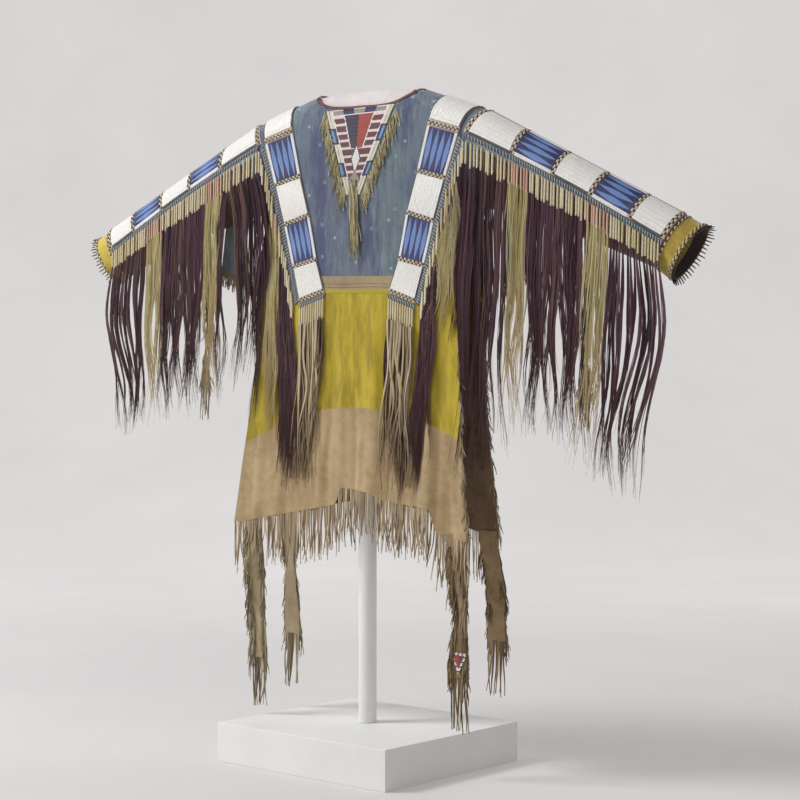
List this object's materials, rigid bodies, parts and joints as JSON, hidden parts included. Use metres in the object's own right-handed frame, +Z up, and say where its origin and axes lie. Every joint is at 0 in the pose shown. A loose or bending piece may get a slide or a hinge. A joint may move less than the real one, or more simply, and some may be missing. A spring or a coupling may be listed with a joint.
{
  "type": "fringed hide shirt on a padded post stand",
  "caption": "Plains-style painted hide shirt with beaded strips, hair locks and cut fringe, hung over a padded form on a white post and plinth.",
  "frame": {"origin": "on the floor under the middle of the plinth, on the post's axis", "axes": "+Z up, the shirt's front faces -Y, +X towards the wearer's left sleeve"},
  "size_m": [1.5052, 0.4536, 1.3683],
  "materials": {
    "painted_stand": "matte white paint",
    "padded_cover": "plain stretched cover cloth",
    "blue_hide": "suede, blue pigment rubbed on",
    "skirt_hide": "suede, yellow pigment above, bare tan below",
    "tan_hide": "bare brain-tanned suede",
    "sleeve_hide": "suede, darkened",
    "cuff_hide": "suede, yellow pigment",
    "red_wool": "dull wool cloth",
    "beadwork": "lane-stitched glass beads",
    "hair_locks": "dark hair and dyed thongs below quilled bits",
    "thongs": "cut suede thongs"
  },
  "bodies": {
    "root": {"plinth": "painted_stand", "post": "painted_stand", "padded_form": "padded_cover", "yoke_front": "blue_hide", "yoke_back": "blue_hide", "underarm_flap_left": "blue_hide", "underarm_flap_right": "blue_hide", "waist_band_front": "tan_hide", "waist_band_back": "tan_hide", "leg_front_right": "tan_hide", "leg_front_left": "tan_hide", "leg_back_right": "tan_hide", "leg_back_left": "tan_hide", "sleeve_pendant_left": "tan_hide", "sleeve_pendant_right": "tan_hide", "skirt_front": "skirt_hide", "skirt_back": "skirt_hide", "sleeve_left": "sleeve_hide", "sleeve_right": "sleeve_hide", "cuff_left": "cuff_hide", "cuff_right": "cuff_hide", "neck_binding": "red_wool", "bib": "beadwork", "bead_triangle": "beadwork", "sleeve_strip_left": "beadwork", "sleeve_strip_right": "beadwork", "shoulder_strip_left": "beadwork", "shoulder_strip_right": "beadwork", "sleeve_locks_left": "hair_locks", "sleeve_locks_right": "hair_locks", "chest_locks_left": "hair_locks", "chest_locks_right": "hair_locks", "back_locks_left": "hair_locks", "back_locks_right": "hair_locks", "chest_thongs_left": "thongs", "chest_thongs_right": "thongs", "back_thongs_left": "thongs", "back_thongs_right": "thongs", "bib_fringe": "thongs", "hem_fringe_front_right": "thongs", "hem_fringe_front_middle": "thongs", "hem_fringe_front_left": "thongs", "hem_fringe_back": "thongs", "leg_front_right_fringe": "thongs", "leg_front_left_fringe": "thongs", "leg_back_right_fringe": "thongs", "leg_back_left_fringe": "thongs", "underarm_flap_fringe_left": "thongs", "underarm_flap_fringe_right": "thongs", "sleeve_pendant_left_thongs": "thongs", "sleeve_pendant_right_thongs": "thongs"}
  },
  "joints": []
}
